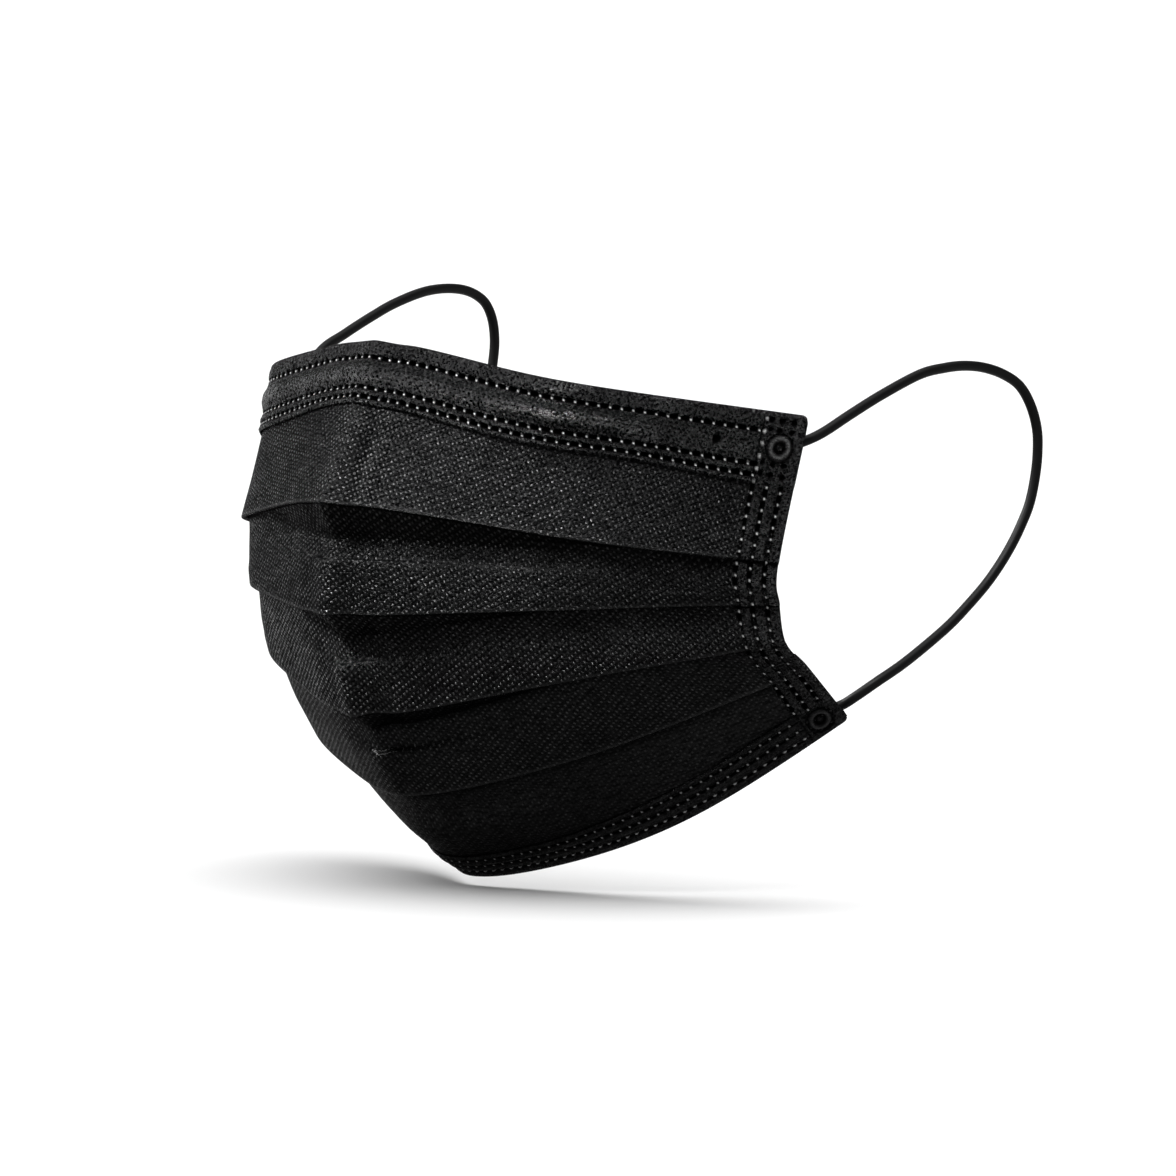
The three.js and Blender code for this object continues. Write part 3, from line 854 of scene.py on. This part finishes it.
class Shader:
    """A material's node tree, with a method for each kind of node that it takes often."""

    def __init__(self, name):
        self.material = bpy.data.materials.new(name)
        self.material.use_nodes = True
        self.tree = self.material.node_tree
        self.tree.nodes.clear()

    def node(self, kind, settings=None, inputs=None):
        return add_node(self.tree, kind, settings, inputs)

    def value(self, node, output):
        return Value(self.tree, node.outputs[output])

    def attribute(self, name):
        return self.value(self.node("ShaderNodeAttribute", {"attribute_name": name}), "Fac")

    def combine(self, x, y):
        return self.node("ShaderNodeCombineXYZ", None, {"X": x, "Y": y}).outputs[0]

    def noise(self, vector, scale, detail=3.0, rough=0.55):
        inputs = {"Vector": vector, "Scale": scale, "Detail": detail, "Roughness": rough}
        made = self.node("ShaderNodeTexNoise", {"noise_dimensions": "3D"}, inputs)
        return self.value(made, "Fac")

    def mix(self, factor, a, b):
        """Colour a, or b where factor is 1."""
        made = self.node("ShaderNodeMix", {"data_type": "RGBA"}, {0: factor, 6: a, 7: b})
        return made.outputs[2]

    def bump(self, height, deep, strength=1.0):
        """Normal of a surface with that height, deep metres at 1."""
        inputs = {"Strength": strength, "Distance": deep, "Height": height}
        return self.node("ShaderNodeBump", None, inputs).outputs[0]

    def surface(self, color, roughness, normal, mirror):
        """A Principled shader; mirror is its Specular IOR Level."""
        inputs = {"Base Color": color, "Roughness": roughness, "Specular IOR Level": mirror}
        if normal is not None:
            inputs["Normal"] = normal
        return self.node("ShaderNodeBsdfPrincipled", None, inputs).outputs[0]

    def finish(self, color, roughness, normal=None, mirror=0.5, gloss=None):
        """Closes the tree. gloss is the share of the surface that shines, laid over the rest."""
        surface = self.surface(color, roughness, normal, mirror)
        if gloss is not None:
            shining = self.surface(color, GLOSS_ROUGHNESS, normal, 0.5)
            blend = self.node("ShaderNodeMixShader", None, {0: gloss, 1: surface, 2: shining})
            surface = blend.outputs[0]
        self.node("ShaderNodeOutputMaterial", None, {"Surface": surface})
        return self.material


GLOSS_ROUGHNESS = 0.24            # of the raised, pressed fibres
MATT_ROUGHNESS = 0.7              # of the cloth between them
SLANT_COS, SLANT_SIN = 0.819, 0.574   # the rows of bond dots rise at 35 degrees
DOT_PITCH = (0.92, 1.12)          # mm between dots along a row and between rows
DOT_EDGE = (0.06, 0.34)           # a dot's full height and its edge, in pitches from its middle
DARK_SHARE, LIGHT_SHARE = 0.06, 0.9   # of the colour, between the dots and on them
# painted shade in the weld slots, dots and grooves and on the thin dark lines across the bands and
# beside the patch borders
PAINTED_PIT_SHADE = (0.0002, 0.0002, 0.0002, 1)
# painted glint on the weld beads, the ring welds and the border dashes
PAINTED_GLINT_COLOR = (0.25, 0.25, 0.25, 1)
CLOTH_BUMP, STRIP_BUMP = 0.0002, 0.00035   # m
FLOOR_COLOR = (0.93, 0.93, 0.93)
WIRE_COLOR = (0.02, 0.02, 0.02)


def shade(color, share):
    """That share of a colour, opaque."""
    return (*[c * share for c in color], 1)


def fabric_material(name, color, dot_light, grain, welds=False):
    """Black spunbond: glossy bond dots standing up on a slanted lattice and fine slanted fibres.

    shine is how light and glossy a place is, and height what the bump reads. dot_light scales
    the dots, and grain the random crinkles between them. The mesh's own values change both: the
    scale of the dots, which also carries painted highlights on the ridge and over the wire and
    painted shade on the lower panels; with welds, the pit and bead masks, which paint shade in
    the slots and a glint on the beads; and without welds, masks of painted shade below the folds
    and in the ridge's hollow and of a painted highlight above the folds."""
    m = Shader(name)
    cloth_mm = m.node("ShaderNodeUVMap", {"uv_map": "cloth_mm"}).outputs["UV"]
    split = m.node("ShaderNodeSeparateXYZ", None, {"Vector": cloth_mm})
    x, y = m.value(split, "X"), m.value(split, "Y")
    # slanted coordinates: a along a row of dots, b across it
    a = x * SLANT_COS - y * SLANT_SIN
    b = x * SLANT_SIN + y * SLANT_COS
    cells = m.combine(a * (1.0 / DOT_PITCH[0]), b * (1.0 / DOT_PITCH[1]))
    dots = m.node("ShaderNodeTexVoronoi", {"voronoi_dimensions": "2D", "feature": "F1"},
                  {"Vector": cells, "Scale": 1.0, "Randomness": 0.25})
    chance = m.node("ShaderNodeSeparateColor", None, {"Color": dots.outputs["Color"]})
    chance = m.value(chance, "Red")
    spot = (1.0 - m.value(dots, "Distance").step(*DOT_EDGE)) * (chance * 0.7 + 0.3)
    fibre = m.noise(m.combine(a * 0.8, b * 1.7), 0.95, 3.0, 0.6)
    thread = fibre.ridges(14.0)
    crease = m.noise(cloth_mm, 1.1, 3.0, 0.55).ridges(12.0)
    wrinkle = m.noise(m.combine(x * 0.4, y * 2.0), 1.0, 3.0, 0.6).step(0.38, 0.62)
    broad = m.noise(cloth_mm, 0.09, 2.0, 0.5).step(0.3, 0.7)
    streak = m.noise(m.combine(x * 0.2, y * 0.45), 1.0, 4.0, 0.7).step(0.36, 0.64)

    # the dot scale carries painted highlights and painted shade; where it is below 1 the cloth
    # between the dots is drawn lighter
    dot_scale_and_painted_light = m.attribute("dot_scale_and_painted_light")
    flat = (1.0 - dot_scale_and_painted_light).positive()
    shine = spot * dot_light + thread * (0.1 * dot_light) + crease * (0.75 * grain)
    shine = shine * dot_scale_and_painted_light
    shine = shine * (broad * 0.4 + 0.8) * (wrinkle * 0.25 + 0.85) * (streak * 0.45 + 0.75)
    shine = shine + flat * 0.07 + 0.012 + wrinkle * (flat * 0.13 + 0.02)
    height = spot * dot_light + thread * (0.2 * dot_light) + crease * (0.7 * grain) + fibre * 0.2
    height = height * dot_scale_and_painted_light + wrinkle * 0.25
    dark, light = shade(color, DARK_SHARE), shade(color, LIGHT_SHARE)
    if welds:
        pit = m.attribute("pit")
        bead = m.attribute("bead")
        shine = shine * (1.0 - pit)
        height = height * (1.0 - bead) * (1.0 - pit)
        # painted shade in the slots, dots and grooves
        tint = m.mix(pit, m.mix(shine, dark, light), PAINTED_PIT_SHADE)
        # painted glint on the beads and dashes
        tint = m.mix(bead, tint, PAINTED_GLINT_COLOR)
        gloss = (shine * 0.5 + bead * 0.4) * (1.0 - pit)
    else:
        # painted shade below the folds and in the ridge's hollow, and a painted highlight on the
        # borders above the folds
        painted_shade = m.attribute("painted_shade")
        shine = shine * (1.0 - painted_shade * 0.55) + m.attribute("painted_fold_highlight") * 0.13
        height = height * (1.0 - painted_shade * 0.8)
        tint = m.mix(shine, dark, light)
        gloss = shine * 0.7
    normal = m.bump(height, STRIP_BUMP if welds else CLOTH_BUMP)
    return m.finish(tint, MATT_ROUGHNESS, normal, mirror=0.0, gloss=gloss)


def elastic_material(name, color):
    """Smooth knitted elastic: fine grain and soft variation."""
    m = Shader(name)
    where = m.node("ShaderNodeTexCoord").outputs["Object"]
    fine = m.noise(where, 2600.0, 3.0, 0.6)
    broad = m.noise(where, 260.0, 2.0, 0.5)
    tint = m.mix(broad, shade(color, 0.3), shade(color, 0.6))
    return m.finish(tint, 0.4 + fine * 0.12, m.bump(fine, 0.00006, 0.35), mirror=0.05)


def plain_material(name, color, roughness):
    """One even finish with a little variation in its roughness."""
    m = Shader(name)
    where = m.node("ShaderNodeTexCoord").outputs["Object"]
    soft = m.noise(where, 120.0, 2.0, 0.5)
    return m.finish(shade(color, 1.0), roughness + soft * 0.08)


def material(key):
    """The finish of that name, made the first time it is asked for."""
    if key in bpy.data.materials:
        return bpy.data.materials[key]
    settings = bpy.context.scene.mask_settings
    if key == "spunbond":
        return fabric_material(key, settings.cloth_color, 1.0, 0.06)
    if key == "hem_strip":
        return fabric_material(key, settings.strip_color, 0.75, 0.8, welds=True)
    if key == "elastic_cord":
        return elastic_material(key, settings.elastic_color)
    if key == "wire_coat":
        return plain_material(key, WIRE_COLOR, 0.45)
    raise KeyError(f"no finish is called {key}")


# ==== Stage ====
AZIMUTH, ELEVATION = 45.5, 4.5    # degrees, where the camera stands
DISTANCE = 2.5                    # m, from the camera to the point that it is placed by
AIM = (0.0, -3.8, -47.5)          # mm, that point
TURN_RIGHT, TURN_DOWN = 0.0166154, 0.0000538   # tangents of the camera's turn off it
SENSOR, LENS = 36.0, 397.96       # mm
FLOOR_DROP = 0.0006               # m, from the lowest point to the floor
FLOOR_HALF = 9.0                  # m
LAMP_AIM = (0.02, 0.02, -0.05)    # m, the middle of the mask with its loops
LAMP_DISTANCE = 1.25              # m
HORIZON = (0.15, 0.3)             # sine of the heights between which the sky dims
SKY = (1.05, 0.12)                # strength round the horizon, and above and below it


def unit(vector):
    return vector / np.linalg.norm(vector)


def place_at(obj, x, y, z, where):
    """Puts obj at where (m), with its own axes along x, y and z."""
    matrix = np.eye(4)
    matrix[:3] = np.stack([x, y, z, where], axis=1)
    obj.matrix_world = Matrix(matrix.tolist())


def add_camera():
    """The camera stands on the front left of the mask, a little above it."""
    azimuth, elevation = np.radians(AZIMUTH), np.radians(ELEVATION)
    back = np.array([np.sin(azimuth) * np.cos(elevation), -np.cos(azimuth) * np.cos(elevation),
                     np.sin(elevation)])
    right = np.array([np.cos(azimuth), np.sin(azimuth), 0.0])
    look = unit(-back + right * TURN_RIGHT - np.cross(back, right) * TURN_DOWN)
    side = unit(np.cross(look, (0.0, 0.0, 1.0)))
    camera = add_object("camera", bpy.data.cameras.new("camera"))
    camera.data.sensor_width = SENSOR
    camera.data.lens = LENS
    camera.data.clip_start, camera.data.clip_end = 0.1, 20.0
    place_at(camera, side, np.cross(side, look), -look, np.array(AIM) * MM + back * DISTANCE)
    bpy.context.scene.camera = camera


def add_floor():
    """Plain pale floor just below the mask."""
    z, h = CAD_BOX[0][2] - FLOOR_DROP, FLOOR_HALF
    mesh = bpy.data.meshes.new("floor")
    mesh.from_pydata([(-h, -h, z), (h, -h, z), (h, h, z), (-h, h, z)], [], [(0, 1, 2, 3)])
    floor = add_object("floor", mesh)
    mesh.materials.append(plain_material("floor_paint", FLOOR_COLOR, 0.9))


def add_lamp(name, power, size, toward):
    """Soft oblong light in the direction toward, which lights the pieces and not the floor."""
    data = bpy.data.lights.new(name, "AREA")
    data.energy = power
    data.shape = "RECTANGLE"
    data.size, data.size_y = size
    lamp = add_object(name, data)
    z = unit(np.array(toward))
    x = unit(np.cross((0.0, 0.0, 1.0), z))
    place_at(lamp, x, np.cross(z, x), z, np.array(LAMP_AIM) + z * LAMP_DISTANCE)
    lamp.light_linking.receiver_collection = lit_pieces()


def add_sky(overhead):
    """Broad light overhead, and a world that is white round the horizon and dim elsewhere."""
    sun = add_object("overhead", bpy.data.lights.new("overhead", "SUN"))
    sun.data.energy = overhead
    sun.data.angle = np.radians(90.0)
    sun.rotation_euler = np.radians((7.0, -7.0, 0.0))
    world = bpy.data.worlds.new("studio")
    world.use_nodes = True
    tree = world.node_tree
    direction = add_node(tree, "ShaderNodeTexCoord").outputs["Generated"]
    split = add_node(tree, "ShaderNodeSeparateXYZ", None, {"Vector": direction})
    height = Value(tree, split.outputs["Z"]).math("ABSOLUTE")
    band = add_node(tree, "ShaderNodeMapRange", {"interpolation_type": "SMOOTHSTEP"}, {
        "Value": height, "From Min": HORIZON[0], "From Max": HORIZON[1],
        "To Min": SKY[0], "To Max": SKY[1]})
    background = tree.nodes["Background"]
    plug(tree, background.inputs["Strength"], band.outputs["Result"])
    plug(tree, background.inputs["Color"], (1, 1, 1, 1))
    bpy.context.scene.world = world
    bpy.context.scene.view_settings.view_transform = "Standard"


# ==== Add-on ====
class MaskSettings(bpy.types.PropertyGroup):
    """Colours and lights that a user would change."""

    cloth_color: FloatVectorProperty(
        name="Cloth colour", description="Colour of the pleated cloth", subtype="COLOR",
        default=(0.005, 0.005, 0.0052), min=0.0, max=1.0)
    strip_color: FloatVectorProperty(
        name="Strip colour", description="Colour of the hems and side bands", subtype="COLOR",
        default=(0.006, 0.006, 0.0062), min=0.0, max=1.0)
    elastic_color: FloatVectorProperty(
        name="Elastic colour", description="Colour of the ear loops", subtype="COLOR",
        default=(0.004, 0.004, 0.0042), min=0.0, max=1.0)
    key_power: FloatProperty(
        name="Key light", description="Power of the soft light in front", default=52.0,
        min=0.0, unit="POWER")
    edge_power: FloatProperty(
        name="Edge light", description="Power of the light from the wearer's right", default=50.0,
        min=0.0, unit="POWER")
    overhead_strength: FloatProperty(
        name="Overhead light", description="Strength of the broad light overhead", default=3.9,
        min=0.0)


class MASK_OT_stage(bpy.types.Operator):
    """Makes the camera, the pale floor and the soft lights"""

    bl_idname = "mask.stage"
    bl_label = "Stage"

    def execute(self, context):
        settings = context.scene.mask_settings
        add_camera()
        add_floor()
        add_lamp("key", settings.key_power, (0.4, 0.5), (0.14, -0.4, 0.91))
        add_lamp("edge", settings.edge_power, (0.2, 0.35), (-0.65, -0.42, 0.63))
        add_sky(settings.overhead_strength)
        return {"FINISHED"}


class MASK_OT_ear_loops(bpy.types.Operator):
    """Makes the two round elastic ear loops"""

    bl_idname = "mask.ear_loops"
    bl_label = "Ear loops"

    def execute(self, context):
        add_loop("loop_left", LEFT_LOOP, material("elastic_cord"), "ear_loop_left")
        add_loop("loop_right", RIGHT_LOOP, material("elastic_cord"), "ear_loop_right")
        return {"FINISHED"}


class MASK_OT_body(bpy.types.Operator):
    """Makes the pleated sheet of the mask"""

    bl_idname = "mask.body"
    bl_label = "Pleated body"

    def execute(self, context):
        obj = thicken(grid_mesh("pleated_cloth", *body_surface(181)), CLOTH)
        finish_piece(obj, material("spunbond"), "mask_body")
        return {"FINISHED"}


class MASK_OT_hems(bpy.types.Operator):
    """Makes the welded top and bottom hems and the wire inside the top one"""

    bl_idname = "mask.hems"
    bl_label = "Hems"

    def execute(self, context):
        top = thicken(grid_mesh("top_hem_strip", *top_hem_surface()), STRIP)
        finish_piece(top, material("hem_strip"), "top_hem")
        bottom = thicken(grid_mesh("bottom_hem_strip", *bottom_hem_surface()), STRIP)
        finish_piece(bottom, material("hem_strip"), "bottom_hem")
        wire = grid_mesh("nose_wire_strip", *wire_surface(), tube=True)
        finish_piece(wire, material("wire_coat"), "nose_wire")
        return {"FINISHED"}


class MASK_OT_side_bands(bpy.types.Operator):
    """Makes the welded bands down both sides"""

    bl_idname = "mask.side_bands"
    bl_label = "Side bands"

    def execute(self, context):
        for name, side, node in (("side_strip_left", 1, "side_band_left"),
                                 ("side_strip_right", -1, "side_band_right")):
            obj = thicken(grid_mesh(name, *side_band_surface(side)), STRIP)
            finish_piece(obj, material("hem_strip"), node)
        return {"FINISHED"}


class MASK_PT_panel(bpy.types.Panel):
    """Lists the mask's operators and settings"""

    bl_idname = "MASK_PT_panel"
    bl_label = "Face Mask"
    bl_space_type = "VIEW_3D"
    bl_region_type = "UI"
    bl_category = "Face Mask"

    def draw(self, context):
        for operator in OPERATORS:
            self.layout.operator(operator.bl_idname)
        for key in MaskSettings.__annotations__:
            self.layout.prop(context.scene.mask_settings, key)


OPERATORS = (MASK_OT_stage, MASK_OT_ear_loops, MASK_OT_body, MASK_OT_hems, MASK_OT_side_bands)
CLASSES = (MaskSettings, *OPERATORS, MASK_PT_panel)


def register():
    for cls in CLASSES:
        bpy.utils.register_class(cls)
    bpy.types.Scene.mask_settings = PointerProperty(type=MaskSettings)


def unregister():
    del bpy.types.Scene.mask_settings
    for cls in reversed(CLASSES):
        bpy.utils.unregister_class(cls)


def main():
    register()
    bpy.ops.mask.stage()
    bpy.ops.mask.ear_loops()
    bpy.ops.mask.body()
    bpy.ops.mask.hems()
    bpy.ops.mask.side_bands()


if __name__ == "__main__":
    main()
